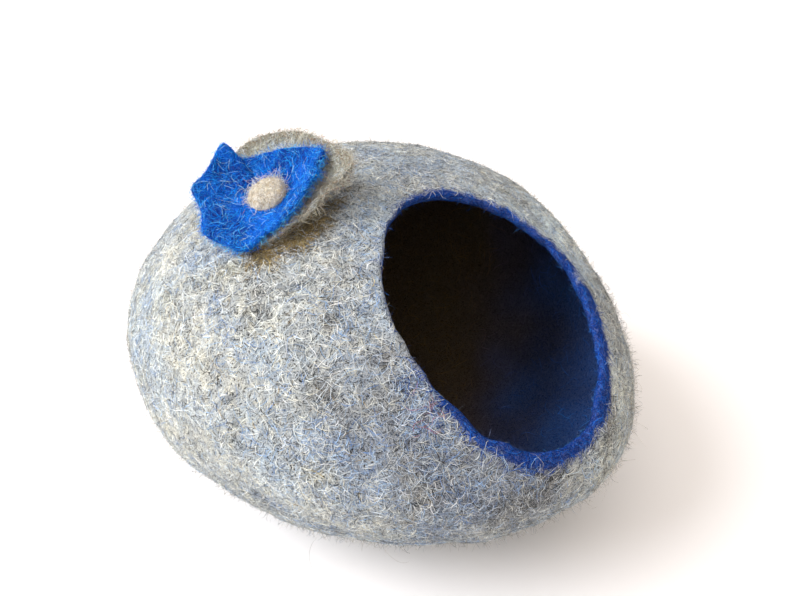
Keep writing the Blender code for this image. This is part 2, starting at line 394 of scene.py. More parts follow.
# Standing hairs: name, part, colours, how many, length (millimetres), lean (degrees), width
# (millimetres), tint of the bloom.
PETAL_FUZZ = (
    ("flower_outer_fuzz", "outer", ("c0beac", "a09a80", "dcd8c8", "b08c70"), 5000, 8.0, 52, 0.17, "ffffff"),
    ("flower_inner_fuzz", "inner", ("0478ea", "2caafc", "0060d0", "64c6fc"), 4000, 6.4, 50, 0.18, "4ca4ff"),
    ("flower_button_fuzz", "button", ("f0e8d6", "faf4e8", "c0ac88"), 1500, 8.0, 62, 0.20, "ffffff"),
)
HAIR_CURL = 3                  # millimetres, of the flower's standing hairs


# ---------------------------------------------------------------- small tools
def srgb(code):
    """The linear colour of a six-digit sRGB code."""
    parts = (int(code[i:i + 2], 16) / 255 for i in (0, 2, 4))
    return tuple(v / 12.92 if v <= 0.04045 else ((v + 0.055) / 1.055) ** 2.4 for v in parts) + (1.0,)


def rgb(code):
    """The linear red, green and blue of a six-digit sRGB code."""
    return np.array(srgb(code)[:3])


def blend(first, second, share):
    """The first value where share is 0, the second where it is 1, and both mixed between."""
    return first * (1 - share) + second * share


def unit(vectors):
    """Rows of vectors, each made one long."""
    return vectors / np.maximum(np.linalg.norm(vectors, axis=-1, keepdims=True), 1e-12)


def directions(heading, pitch):
    """Unit vectors for headings and pitches in degrees."""
    h = np.radians(heading)
    p = np.radians(pitch)
    return np.stack([np.sin(h) * np.cos(p), -np.cos(h) * np.cos(p), np.sin(p) * np.ones_like(h)], axis=-1)


def spot(ways, heading, pitch, spread):
    """1 at a heading and pitch, falling off smoothly over so many degrees round them."""
    apart = np.arccos(np.clip(ways @ directions(heading, pitch), -1, 1))
    return np.exp(-(apart / math.radians(spread)) ** 2)


def round_table(rows, column, angles):
    """Values of a column at many angles, joined smoothly round the circle with no overshoot."""
    table = np.array(rows, float)
    at = np.concatenate([table[-2:, 0] - 360, table[:, 0], table[:2, 0] + 360])
    value = np.concatenate([table[-2:, column], table[:, column], table[:2, column]])
    gaps = np.diff(at)
    rates = np.diff(value) / gaps
    both = rates[:-1] * rates[1:]
    slopes = np.zeros(len(at))
    slopes[1:-1] = np.divide(2 * both, rates[:-1] + rates[1:], out=np.zeros_like(both), where=both > 0)
    angles = np.mod(angles, 360)
    row = np.searchsorted(at, angles, side="right") - 1
    t = (angles - at[row]) / gaps[row]
    start = slopes[row] * gaps[row]
    end = slopes[row + 1] * gaps[row]
    return ((2 * t ** 3 - 3 * t ** 2 + 1) * value[row] + (t ** 3 - 2 * t ** 2 + t) * start
            + (3 * t ** 2 - 2 * t ** 3) * value[row + 1] + (t ** 3 - t ** 2) * end)


def waves(points, size, seed):
    """Smooth unevenness, about -2 to 2, in patches size millimetres across.  seed picks the pattern."""
    rng = np.random.default_rng(seed)
    total = np.zeros(points.shape[:-1])
    count = 14
    for _ in range(count):
        way = unit(rng.normal(size=3)) * rng.uniform(0.6, 1.5) * math.pi / (size * MM)
        total += np.sin(points @ way + rng.uniform(0, 2 * math.pi))
    return total * math.sqrt(2 / count)


def unevenness(points, rows, seed):
    """Metres of height of the lumps in rows (height and size in millimetres) at many points."""
    return sum(height * waves(points, size, seed + row) for row, (height, size) in enumerate(rows)) * MM


def ease(values, low, high):
    """0 below low, 1 above high and a smooth step between."""
    t = np.clip((values - low) / (high - low), 0, 1)
    return t * t * (3 - 2 * t)


# ---------------------------------------------------------------- the shapes
EGG_TURN = np.array(Matrix.Rotation(math.radians(-SIDE_LEAN), 3, "Y")
                    @ Matrix.Rotation(math.radians(NOSE_DROP), 3, "X"))
MIDDLE = np.array((0, 0, MIDDLE_HEIGHT))


def body_points(ways):
    """Points of the body's outer face in many directions from its middle."""
    own = ways @ EGG_TURN.T
    width = 1 + TAPER * own[..., 1]
    reach = 1 / np.sqrt((own[..., 0] / (HALF_WIDTH * width)) ** 2 + (own[..., 1] / HALF_LENGTH) ** 2
                        + (own[..., 2] / (HALF_HEIGHT * width)) ** 2)
    for _, heading, pitch, spread, size in SWELLINGS:
        reach = reach + size * MM * spot(ways, heading, pitch, spread)
    points = ways * reach[..., None]
    height = points[..., 2] + MIDDLE_HEIGHT
    points[..., 2] = np.where(height < BASE_BLEND,
                              np.maximum(height + BASE_BLEND, 0) ** 2 / (4 * BASE_BLEND), height)
    return points


def body_normals(ways):
    """Outward normals of the body's outer face in many directions."""
    helper = np.where(np.abs(ways[..., 2:3]) < 0.8, (0.0, 0.0, 1.0), (1.0, 0.0, 0.0))
    side = unit(np.cross(helper, ways))
    up = np.cross(ways, side)
    step = 0.002
    along = body_points(unit(ways + side * step)) - body_points(unit(ways - side * step))
    across = body_points(unit(ways + up * step)) - body_points(unit(ways - up * step))
    return unit(np.cross(along, across))


def mouth_axes():
    """The mouth's direction and the two directions that its bearings are read from."""
    axis = directions(MOUTH_HEADING, MOUTH_PITCH)
    right = directions(MOUTH_HEADING + 90, 0)
    return axis, right, np.cross(axis, right)


def mouth_ways(bearings, polars):
    """Directions from the body's middle at bearings round the mouth and angles from its axis."""
    axis, right, up = mouth_axes()
    round_axis = np.cos(bearings)[..., None] * right + np.sin(bearings)[..., None] * up
    return axis * np.cos(polars)[..., None] + round_axis * np.sin(polars)[..., None]


def flower_seat():
    """The flower's own axes, as columns, and the place of its foot."""
    way = directions(FLOWER_HEADING, FLOWER_PITCH)[None]
    normal = body_normals(way)[0]
    right = np.array(FLOWER_RIGHT)
    right = unit(right - normal * (right @ normal))
    turn = np.stack([right, np.cross(normal, right), normal], axis=1)
    return turn, body_points(way)[0]


def petal_rise(rows, angles, reach):
    """Height of a petal layer's upper face over its middle."""
    edge = round_table(rows, 1, angles) * MM
    return round_table(rows, 2, angles) * MM * (reach / edge) ** PETAL_SWEEP


# ---------------------------------------------------------------- making meshes
def facing_out(points, faces):
    """The faces of a closed piece, turned over if they look inwards."""
    halves = [face[:3] for face in faces] + [(face[0], face[2], face[3]) for face in faces if len(face) == 4]
    corner = (points - points.mean(axis=0))[np.array(halves)]
    volume = np.sum(corner[:, 0] * np.cross(corner[:, 1], corner[:, 2]))
    return faces if volume > 0 else [face[::-1] for face in faces]


def new_piece(name, points, faces, material, colours=None):
    """A smooth piece from points and faces, with the wool's colour at each point."""
    mesh = bpy.data.meshes.new(name)
    mesh.from_pydata(points.tolist(), [], faces)
    mesh.shade_smooth()
    if colours is not None:
        layer = mesh.color_attributes.new(name="wool", type="FLOAT_COLOR", domain="POINT")
        full = np.concatenate([colours, np.ones((len(colours), 1))], axis=1)
        layer.data.foreach_set("color", full.astype(np.float32).ravel())
    mesh.materials.append(material)
    piece = bpy.data.objects.new(name, mesh)
    bpy.context.scene.collection.objects.link(piece)
    return piece


def grid_faces(rows, columns):
    """Faces of a closed sleeve of rows, with a point at each end after its last row."""
    index = np.arange(rows * columns).reshape(rows, columns)
    beside = np.roll(index, -1, axis=1)
    quads = np.stack([index[:-1], beside[:-1], beside[1:], index[1:]], axis=-1).reshape(-1, 4)
    first, last = rows * columns, rows * columns + 1
    caps = [(beside[0, i], index[0, i], first) for i in range(columns)]
    caps += [(index[-1, i], beside[-1, i], last) for i in range(columns)]
    return quads.tolist() + [tuple(int(v) for v in cap) for cap in caps]


def rounded_edge(front, back, bulge, steps):
    """Rows of points that join the front's first row to the back's round the sheet's edge.

    bulge is how far the edge rounds out: one distance, or one for each column.
    """
    middle = (front[0] + back[0]) / 2
    half = (front[0] - back[0]) / 2
    share, size = EDGE_WAVER
    out = unit(front[0] - front[1]) * (bulge * (1 + share * waves(front[0], size, 12)))[:, None]
    angles = np.linspace(0, math.pi, steps + 2)[1:-1]
    return np.stack([middle + half * math.cos(a) + out * math.sin(a) for a in angles])


def closed_sheet(name, front, front_end, back, back_end, bulge, steps, material, colours):
    """A sheet of felt with two faces and a rounded edge, in the wool of colours' front, edge and back.

    front and back are rows of points that run from the edge to an end point.  bulge and steps are the
    rounded edge's.
    """
    edge = rounded_edge(front, back, bulge, steps)
    rows = np.concatenate([front[::-1], edge, back])
    points = np.concatenate([rows.reshape(-1, 3), [front_end, back_end]])
    shades = np.concatenate([colours["front"][::-1].reshape(-1, 3),
                             np.broadcast_to(colours["edge"], edge.shape).reshape(-1, 3),
                             colours["back"].reshape(-1, 3),
                             [colours["front"][-1, 0], colours["back"][-1, 0]]])
    faces = facing_out(points, grid_faces(len(rows), rows.shape[1]))
    return new_piece(name, points, faces, material, shades)


def ribbons(name, spine, facing, width, roll, material, colours):
    """Thin flat ribbons along rows of points, one piece.  facing is the way a ribbon's face looks."""
    count, steps = spine.shape[:2]
    along = unit(np.gradient(spine, axis=1))
    side = unit(np.cross(along, facing))
    side = side * np.cos(roll)[:, None, None] + facing * np.sin(roll)[:, None, None]
    taper = np.sin(np.linspace(0.12, math.pi - 0.12, steps)) ** 0.4
    half = side * (width[:, None] * taper[None])[..., None] / 2
    points = np.stack([spine - half, spine + half], axis=2).reshape(-1, 3)
    points[:, 2] = np.maximum(points[:, 2], RIBBON_FLOOR)
    index = np.arange(count * steps * 2).reshape(count, steps, 2)
    quads = np.stack([index[:, :-1, 0], index[:, :-1, 1], index[:, 1:, 1], index[:, 1:, 0]], axis=-1)
    shades = np.repeat(colours, steps * 2, axis=0)
    piece = new_piece(name, points, quads.reshape(-1, 4).tolist(), material, shades)
    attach(piece, "root")
    return piece


# ---------------------------------------------------------------- wool fibres
class Surface:
    """A piece's mesh, ready to scatter fibres on and to walk over."""

    def __init__(self, piece):
        mesh = piece.data
        mesh.calc_loop_triangles()
        self.points = np.zeros(len(mesh.vertices) * 3)
        mesh.vertices.foreach_get("co", self.points)
        self.points = self.points.reshape(-1, 3)
        self.triangles = np.zeros(len(mesh.loop_triangles) * 3, dtype=np.int32)
        mesh.loop_triangles.foreach_get("vertices", self.triangles)
        self.triangles = self.triangles.reshape(-1, 3)
        self.tree = BVHTree.FromPolygons(self.points.tolist(), self.triangles.tolist())
        corner = self.points[self.triangles]
        cross = np.cross(corner[:, 1] - corner[:, 0], corner[:, 2] - corner[:, 0])
        self.area = np.linalg.norm(cross, axis=1) / 2
        self.normal = unit(cross)
        self.centre = corner.mean(axis=1)
        shade = np.zeros(len(mesh.vertices) * 4, dtype=np.float32)
        mesh.color_attributes["wool"].data.foreach_get("color", shade)
        self.shade = shade.reshape(-1, 4)[self.triangles, :3].mean(axis=1)

    def scatter(self, count, chance, rng):
        """Random places on the surface, likelier where chance (one number a triangle) is higher."""
        weight = self.area * chance
        pick = rng.choice(len(weight), size=count, p=weight / weight.sum())
        u = rng.random((count, 1))
        v = rng.random((count, 1))
        flip = u + v > 1
        u = np.where(flip, 1 - u, u)
        v = np.where(flip, 1 - v, v)
        corner = self.points[self.triangles[pick]]
        places = corner[:, 0] + u * (corner[:, 1] - corner[:, 0]) + v * (corner[:, 2] - corner[:, 0])
        return places, self.normal[pick]

    def snap(self, places):
        """The nearest points of the surface and its normals there."""
        hits = [self.tree.find_nearest(place) for place in places.tolist()]
        found = np.array([(*hit[0], *hit[1]) for hit in hits])
        return found[:, :3], found[:, 3:]


def turned(vectors, axes, angles):
    """Vectors turned about axes that they are square to."""
    return unit(vectors * np.cos(angles)[:, None] + np.cross(axes, vectors) * np.sin(angles)[:, None])


def lying_fibres(surface, chance, count, length, curl, lift, steps, rng):
    """Places, spines and facings of curly fibres that lie on a surface, likelier where chance is high.

    The length, the curl's radius and how far a fibre's middle lifts are in millimetres.
    """
    places, normals = surface.scatter(count, chance, rng)
    starts = places
    stride = length * MM * rng.uniform(0.55, 1.45, count) / (steps - 1)
    bend = stride / (curl * MM) * rng.choice((-1, 1), count) * rng.uniform(0.2, 1.6, count)
    top = lift * MM * rng.uniform(0.1, 1.0, count)
    heading = unit(np.cross(normals, rng.normal(size=(count, 3))))
    spine = np.zeros((count, steps, 3))
    facing = np.zeros((count, steps, 3))
    for step in range(steps):
        arch = math.sin(math.pi * step / (steps - 1))
        spine[:, step] = places + normals * (top * arch + 0.05 * MM)[:, None]
        facing[:, step] = normals
        if step < steps - 1:
            heading = turned(heading, normals, bend + rng.normal(0, 0.25, count))
            places, normals = surface.snap(places + heading * stride[:, None])
            heading = unit(heading - normals * np.sum(heading * normals, axis=1, keepdims=True))
    return starts, spine, facing


def standing_hairs(surface, chance, count, length, lean, curl, steps, rng):
    """Places, spines and facings of hairs that stand off a surface, likelier where chance is high.

    The length and the curl's radius are in millimetres, the lean in degrees.
    """
    places, normals = surface.scatter(count, chance, rng)
    stride = length * MM * rng.uniform(0.5, 1.5, count) / (steps - 1)
    side = unit(np.cross(normals, rng.normal(size=(count, 3))))
    tilt = np.radians(rng.normal(lean, 14, count)).clip(0.1, 1.5)
    heading = normals * np.cos(tilt)[:, None] + side * np.sin(tilt)[:, None]
    axis = unit(np.cross(heading, rng.normal(size=(count, 3))))
    bend = stride / (curl * MM) * rng.uniform(0.2, 1.5, count)
    spine = np.zeros((count, steps, 3))
    here = places.copy()
    for step in range(steps):
        spine[:, step] = here
        heading = turned(heading, axis, bend)
        axis = unit(axis + rng.normal(0, 0.15, (count, 3)))
        axis = unit(axis - heading * np.sum(axis * heading, axis=1, keepdims=True))
        here = here + heading * stride[:, None]
    facing = unit(np.cross(np.gradient(spine, axis=1), rng.normal(size=(count, 1, 3))))
    return places, spine, facing


def near_body(spine):
    """Which of the spines stay within the hairs' room round the part."""
    low = np.array(cad_box[0]) - HAIR_ROOM
    high = np.array(cad_box[1]) + HAIR_ROOM
    return np.all((spine > low) & (spine < high), axis=(1, 2))


def fibre_colours(count, hexes, spread, rng):
    """A linear colour for each fibre, picked from a few wools and a little lighter or darker."""
    picks = np.array([rgb(code) for code in hexes])[rng.integers(0, len(hexes), count)]
    return np.clip(picks * np.exp(rng.normal(0, spread, (count, 1))), 0, 0.95)


# ---------------------------------------------------------------- wool patches, and the painted shade and light on them
def wool_shares(points):
    """How much of each wool is in the felt at many points, as parts that add up to one."""
    ways = unit(points - MIDDLE)
    shares = []
    for number, (wool, (share, size, patchy)) in enumerate(BLEND.items()):
        level = math.log(share) + patchy * waves(points, size, 40 + number)
        level += 0.35 * patchy * waves(points, size / 2.6, 60 + number)
        for _, heading, pitch, spread, name, gain in TINTS:
            if name == wool:
                level += gain * spot(ways, heading, pitch, spread)
        shares.append(np.exp(1.5 * level))
    shares = np.stack(shares, axis=-1)
    return shares / shares.sum(axis=-1, keepdims=True)


def painted_shading(points):
    """The painted shade and light at many points: the share of the light left, 1 where no painted shade
    darkens it.
    """
    ways = unit(points - MIDDLE)
    light = np.ones(points.shape[:-1])
    for _, heading, pitch, spread, left in PAINTED_SHADES:
        light *= 1 - (1 - left) * spot(ways, heading, pitch, spread)
    return light


def wool_colour(points):
    """The felt's mixed colour at many points, with the painted shade and light laid in."""
    palette = np.array([rgb(WOOLS[wool]) for wool in BLEND])
    return FELT_DEPTH * (wool_shares(points) @ palette) * painted_shading(points)[..., None] ** np.array(FELT_SHADE)


def painted_fibre_shading(places):
    """The painted shade and light on the fibres at many places, as on the felt about them."""
    return painted_shading(places)[:, None] ** np.array(FIBRE_SHADE)


# ---------------------------------------------------------------- materials
def node(tree, kind, inputs=None, **settings):
    """Add a node, set it up, and fill or link its inputs."""
    new = tree.nodes.new("ShaderNode" + kind)
    for key, value in settings.items():
        setattr(new, key, value)
    for key, value in (inputs or {}).items():
        if isinstance(value, bpy.types.NodeSocket):
            tree.links.new(value, new.inputs[key])
        else:
            new.inputs[key].default_value = value
    return new


def new_material(name, roughness, sheen, sheen_roughness, sheen_tint, gloss=0.1):
    """A material with the numbers that are the same all over it.  Sheen gives the bloom of fine hair."""
    material = bpy.data.materials.new(name)
    material.use_nodes = True
    surface = material.node_tree.nodes["Principled BSDF"]
    surface.inputs["Roughness"].default_value = roughness
    surface.inputs["Specular IOR Level"].default_value = gloss
    surface.inputs["Sheen Weight"].default_value = sheen
    surface.inputs["Sheen Roughness"].default_value = sheen_roughness
    surface.inputs["Sheen Tint"].default_value = srgb(sheen_tint)
    return material, material.node_tree, surface


def tufted(tree, place, wool, strength):
    """The wool's colour, lighter and warmer on its small tufts, darker and bluer in the dimples."""
    field = node(tree, "TexNoise", {"Vector": place, "Scale": 1 / (TUFT * MM), "Detail": 1.0})
    high = node(tree, "MapRange", {"Value": field.outputs["Fac"], "From Min": TUFT_RANGE[0],
                                   "From Max": TUFT_RANGE[1]}, interpolation_type="SMOOTHSTEP")
    light = node(tree, "Mix", {"Factor": high.outputs[0], COLOUR_A: DIMPLE_TINT, COLOUR_B: TUFT_TINT},
                 data_type="RGBA")
    mixed = node(tree, "Mix", {"Factor": strength, COLOUR_A: wool, COLOUR_B: light.outputs[COLOUR_OUT]},
                 data_type="RGBA", blend_type="MULTIPLY")
    return mixed.outputs[COLOUR_OUT]


def felt(name):
    """One of the felts: pale strands over darker pits, in the colour of the wool there."""
    pit_light, strand, strand_light, relief, bloom_tint, bloom, tuft = FELTS[name]
    material, tree, surface = new_material(name, 0.93, bloom, 0.6, bloom_tint)
    place = node(tree, "TexCoord").outputs["Object"]
    wool = node(tree, "Attribute", attribute_name="wool").outputs["Color"]
    wool = tufted(tree, place, wool, tuft)
    swirl = node(tree, "TexNoise", {"Vector": place, "Scale": 1 / (SWIRL_SIZE * strand * MM), "Detail": 1.0})
    sway = node(tree, "VectorMath", {0: swirl.outputs["Color"], 1: (0.5, 0.5, 0.5)}, operation="SUBTRACT")
    push = node(tree, "VectorMath", {0: sway.outputs[0], "Scale": SWIRL_PUSH * strand * MM},
                operation="SCALE")
    moved = node(tree, "VectorMath", {0: place, 1: push.outputs[0]}, operation="ADD").outputs[0]
    # A strand runs wherever a noise field crosses its middle value.
    layers = []
    for spacing, thickness in STRAND_LAYERS:
        field = node(tree, "TexNoise", {"Vector": moved, "Scale": 1 / (spacing * strand * MM), "Detail": 1.5,
                                        "Roughness": 0.45})
        off = node(tree, "Math", {0: field.outputs["Fac"], 1: 0.5}, operation="SUBTRACT")
        away = node(tree, "Math", {0: off.outputs[0]}, operation="ABSOLUTE")
        line = node(tree, "MapRange", {"Value": away.outputs[0], "From Min": 0.0, "From Max": thickness,
                                       "To Min": 1.0, "To Max": 0.0}, interpolation_type="SMOOTHSTEP")
        layers.append(line.outputs[0])
    strands = node(tree, "Math", {0: layers[0], 1: layers[1]}, operation="MAXIMUM").outputs[0]
    pits = node(tree, "TexNoise", {"Vector": moved, "Scale": 1 / (PIT_SIZE * strand * MM), "Detail": 2.0})
    depth = node(tree, "MapRange", {"Value": pits.outputs["Fac"], "From Min": PIT_RANGE[0],
                                    "From Max": PIT_RANGE[1], "To Min": pit_light, "To Max": 0.95})
    shaded = node(tree, "Mix", {"Factor": 1.0, COLOUR_A: wool, COLOUR_B: depth.outputs[0]},
                  data_type="RGBA", blend_type="MULTIPLY")
    light = node(tree, "Mix", {"Factor": strand_light, COLOUR_A: wool, COLOUR_B: srgb("ffffff")},
                 data_type="RGBA")
    colour = node(tree, "Mix", {"Factor": strands, COLOUR_A: shaded.outputs[COLOUR_OUT],
                                COLOUR_B: light.outputs[COLOUR_OUT]}, data_type="RGBA")
    tree.links.new(colour.outputs[COLOUR_OUT], surface.inputs["Base Color"])
    height = node(tree, "Math", {0: strands, 1: depth.outputs[0]}, operation="ADD")
    bump = node(tree, "Bump", {"Height": height.outputs[0], "Distance": relief * MM, "Strength": 0.8})
    tree.links.new(bump.outputs[0], surface.inputs["Normal"])
    return material


def wool_fibre(name, bloom_tint, bloom=0.3, tuft=0.0):
    """Loose wool: scaly hairs, so matt with a soft bloom, and darker in stretches along each one.

    A real hair is about 0.03 mm thick.  They are drawn 0.1 to 0.5 mm wide, so that they show.
    """
    material, tree, surface = new_material(name, 0.75, bloom, 0.5, bloom_tint)
    place = node(tree, "TexCoord").outputs["Object"]
    wool = node(tree, "Attribute", attribute_name="wool").outputs["Color"]
    wool = tufted(tree, place, wool, tuft)
    stretch = node(tree, "TexNoise", {"Vector": place, "Scale": 1 / (FIBRE_STRETCH * MM), "Detail": 1.0})
    shade = node(tree, "MapRange", {"Value": stretch.outputs["Fac"], "From Min": 0.3, "From Max": 0.7,
                                    "To Min": 0.78, "To Max": 1.08})
    colour = node(tree, "Mix", {"Factor": 1.0, COLOUR_A: wool, COLOUR_B: shade.outputs[0]},
                  data_type="RGBA", blend_type="MULTIPLY")
    tree.links.new(colour.outputs[COLOUR_OUT], surface.inputs["Base Color"])
    return material


def pale_floor():
    """Painted board, rolled matt: nearly white, with only the faintest clouds in it."""
    material, tree, surface = new_material("matt_white_board", 0.85, 0.0, 0.5, "ffffff")
    place = node(tree, "TexCoord").outputs["Object"]
    clouds = node(tree, "TexNoise", {"Vector": place, "Scale": 0.8, "Detail": 1.0})
    first, second = FLOOR_COLOURS
    colour = node(tree, "Mix", {"Factor": clouds.outputs["Fac"], COLOUR_A: srgb(first),
                                COLOUR_B: srgb(second)}, data_type="RGBA")
    tree.links.new(colour.outputs[COLOUR_OUT], surface.inputs["Base Color"])
    return material


# ---------------------------------------------------------------- the pieces
def lining_colour(points):
    """The inside's blue wool, turning to a brown painted shade towards the back, deep inside."""
    deep, bright, brown = map(rgb, LINING_WOOLS_AND_SHADE)
    blue = blend(deep, bright, ease(0.6 + 0.3 * waves(points, 38, 7), 0.0, 1.2)[..., None])
    behind = points[..., 1] + 0.6 * (0.13 - points[..., 0])
    return blend(blue, brown, ease(behind + 0.008 * waves(points, 40, 6), -0.10, 0.045)[..., None])


def shell_colours(front, back, bearings, from_edge, depth):
    """The colours at the points of the shell's outer face, of its rounded edge and of its inner face: the
    wool, with painted shade and light laid in.

    from_edge and depth are how far the outer and inner points are from the mouth's edge, in metres.
    """
    blue_start = round_table(RIM_BLUE, 1, np.degrees(bearings))
    blue_start += 0.06 * waves(front[0], 16, 8) + 0.11 * waves(front[0], 8, 9)

    def blue_share(across):
        return ease(across, blue_start[None] + BLUE_FADE[0], blue_start[None] + BLUE_FADE[1])[..., None]

    rim = rgb(RIM_COLOUR)
    steps = np.linspace(0, 1, LIP_STEPS + 2)[1:-1, None]
    near_lip = 1 - ease(depth / MM, *LINING_FADE)[..., None]
    return {"front": blend(wool_colour(front), rim, blue_share(-from_edge / (LIP_ARC * MM))),
            "edge": blend(wool_colour(front[:1]), rim, blue_share(steps)),
            "back": blend(lining_colour(back), rgb(RIM_INSIDE_COLOUR), near_lip)}


def line_with_blue(shell, back_rows):
    """Give the shell's inner face and the blue part of its edge their own felt."""
    shell.data.materials.append(felt("wet_felted_blue_wool"))
    first_blue = (SHELL_ROWS + LIP_STEPS // 2) * SHELL_COLUMNS
    quads = (SHELL_ROWS + LIP_STEPS + back_rows - 1) * SHELL_COLUMNS
    wools = np.zeros(len(shell.data.vertices) * 4, dtype=np.float32)
    shell.data.color_attributes["wool"].data.foreach_get("color", wools)
    wools = wools.reshape(-1, 4)
    blue = wools[:, 2] > BLUE_OVER_RED * wools[:, 0]
    for polygon in shell.data.polygons:
        in_cap = quads <= polygon.index < quads + SHELL_COLUMNS
        inner_face = polygon.index >= first_blue and not in_cap
        polygon.material_index = int(inner_face or all(blue[corner] for corner in polygon.vertices))


def build_shell():
    """The cave's one-piece wall: a grey heather face, a blue inside and a rounded blue edge."""
    bearings = np.linspace(0, 2 * math.pi, SHELL_COLUMNS, endpoint=False)
    opening = np.radians(round_table(MOUTH, 1, np.degrees(bearings)))
    reach = np.linalg.norm(body_points(mouth_ways(bearings, opening)) - MIDDLE, axis=1)
    start = opening + LIP_BULGE / reach
    along = np.linspace(0, 1, SHELL_ROWS + 1)[:-1]
    along = (along + 2 * along ** 2) / 3
    polars = start[None] + (math.pi - start[None]) * along[:, None]
    ways = mouth_ways(np.broadcast_to(bearings, polars.shape), polars)
    outer = body_points(ways)
    normals = body_normals(ways)
    # The felt is pressed flat underneath and pulled smoother near the mouth's edge.
    from_base = ease(outer[..., 2], 0.0, BASE_CALM)
    from_edge = (polars - start[None]) * reach[None]
    calm = from_base * (0.35 + 0.65 * ease(from_edge, 0.0, EDGE_CALM))
    fullness = round_table(RIM_FULLNESS, 1, np.degrees(bearings)) * MM
    swell = HEM_SWELL * (fullness - LIP_BULGE)[None] * np.exp(-from_edge / HEM_DEPTH)
    front = outer + normals * (unevenness(outer, LUMPS, 1) * calm + swell)[..., None]
    rows = np.unique(np.round(np.linspace(0, SHELL_ROWS - 1, LINING_ROWS)).astype(int))
    inner = outer[rows] - normals[rows] * WALL
    dents = np.abs(unevenness(inner, DENTS, 4)) * from_base[rows]
    back = inner - normals[rows] * dents[..., None]
    end_way = -mouth_axes()[0][None]
    end = body_points(end_way)[0]
    back_end = end - body_normals(end_way)[0] * WALL
    colours = shell_colours(front, back, bearings, from_edge, from_edge[rows])
    shell = closed_sheet("shell_felt", front, end, back, back_end, fullness, LIP_STEPS,
                         felt("wet_felted_heather_wool"), colours)
    line_with_blue(shell, len(rows))
    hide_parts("shell")
    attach(shell, "root")
    return shell


def build_petals(part, rows, middle, seat, material, colours, under_colours, lumps, seed):
    """The flower's outer or inner petals: a lobed cup of felt, rounded at the edge and a little uneven."""
    turn, place = seat
    angles = np.linspace(0, 360, PETAL_COLUMNS, endpoint=False)
    edge = round_table(rows, 1, angles) * MM - PETAL_BULGE
    along = 1 - np.linspace(0, 1, PETAL_ROWS + 1)[:-1] ** 0.9
    reach = edge[None] * along[:, None]
    rise = middle + petal_rise(rows, np.broadcast_to(angles, reach.shape), reach)
    flat = np.stack([reach * np.cos(np.radians(angles)), reach * np.sin(np.radians(angles)), rise], axis=-1)
    normals = unit(np.cross(np.roll(flat, -1, axis=1) - np.roll(flat, 1, axis=1), np.gradient(flat, axis=0)))
    normals = normals * np.where(normals[..., 2:3] < 0, -1, 1)
    height = unevenness(flat, lumps, seed) * ease(reach, *PETAL_FREE)
    top = flat + normals * height[..., None]
    under = top - normals * PETAL_FELT
    top_end = np.array((0, 0, middle))
    under_end = np.array((0, 0, middle - PETAL_FELT))
    top, top_end, under, under_end = [own @ turn.T + place for own in (top, top_end, under, under_end)]
    # The underside's colour wraps a little way over the edge: on the grey petals, their painted shade.
    face = blend(colours(top), under_colours(top), 0.7 * ease(along, 0.88, 1.0)[:, None, None])
    shades = {"front": face, "edge": face[0], "back": under_colours(under)}
    petals = closed_sheet("flower_%s_felt" % part, top, top_end, under, under_end, PETAL_BULGE,
                          PETAL_EDGE_STEPS, material, shades)
    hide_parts("flower_" + part)
    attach(petals, "root")
    return petals


def build_button(middle, seat, material):
    """The felt button: a flat hard-felted ball pressed on to the inner petals."""
    turn, place = seat
    lean = unit(np.array(BUTTON_LEAN) @ turn)
    across = unit(np.cross((0.0, 1.0, 0.0), lean))
    axes = np.stack([across, np.cross(lean, across), lean])
    polars = np.linspace(0, math.pi, BUTTON_ROWS + 2)[1:-1]
    bearings = np.linspace(0, 2 * math.pi, BUTTON_COLUMNS, endpoint=False)
    polar, bearing = np.meshgrid(polars, bearings, indexing="ij")
    level = np.sin(polar)
    ball = np.stack([level * np.cos(bearing), level * np.sin(bearing), np.cos(polar)], axis=-1)
    ends = np.array(((0, 0, 1.0), (0, 0, -1.0)))
    whole = np.concatenate([ball.reshape(-1, 3), ends])
    sizes = np.array((BUTTON_HALF_WIDTH, BUTTON_HALF_WIDTH * 0.95, BUTTON_HALF_HEIGHT))
    points = (whole * sizes) @ axes + (BUTTON_SHIFT, 0, middle + BUTTON_CENTRE_RISE)
    points += unit(whole) @ axes * (0.35 * waves(points, 9, 21) * MM)[:, None]
    angle = np.degrees(np.arctan2(points[:, 1], points[:, 0]))
    floor = middle + petal_rise(INNER_PETALS, angle, np.hypot(points[:, 0], points[:, 1])) + BUTTON_GAP
    points[:, 2] = np.maximum(points[:, 2], floor)
    points = points @ turn.T + place
    cream, fawn = map(rgb, BUTTON_WOOLS)
    colours = blend(cream, fawn, ease(waves(points, 3.2, 22), 0.2, 2.2)[:, None])
    faces = facing_out(points, grid_faces(BUTTON_ROWS, BUTTON_COLUMNS))
    button = new_piece("flower_button_felt", points, faces, material, colours)
    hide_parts("flower_button")
    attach(button, "root")
    return button


def outside(surface):
    """1 for the triangles of the shell's outer face, away from the flower's foot, and 0 for the rest."""
    looks_out = np.sum(surface.normal * unit(surface.centre - MIDDLE), axis=1) > 0
    _, foot = flower_seat()
    clear = np.linalg.norm(surface.centre - foot, axis=1) > FLOWER_FOOT
    return (looks_out & clear).astype(float)


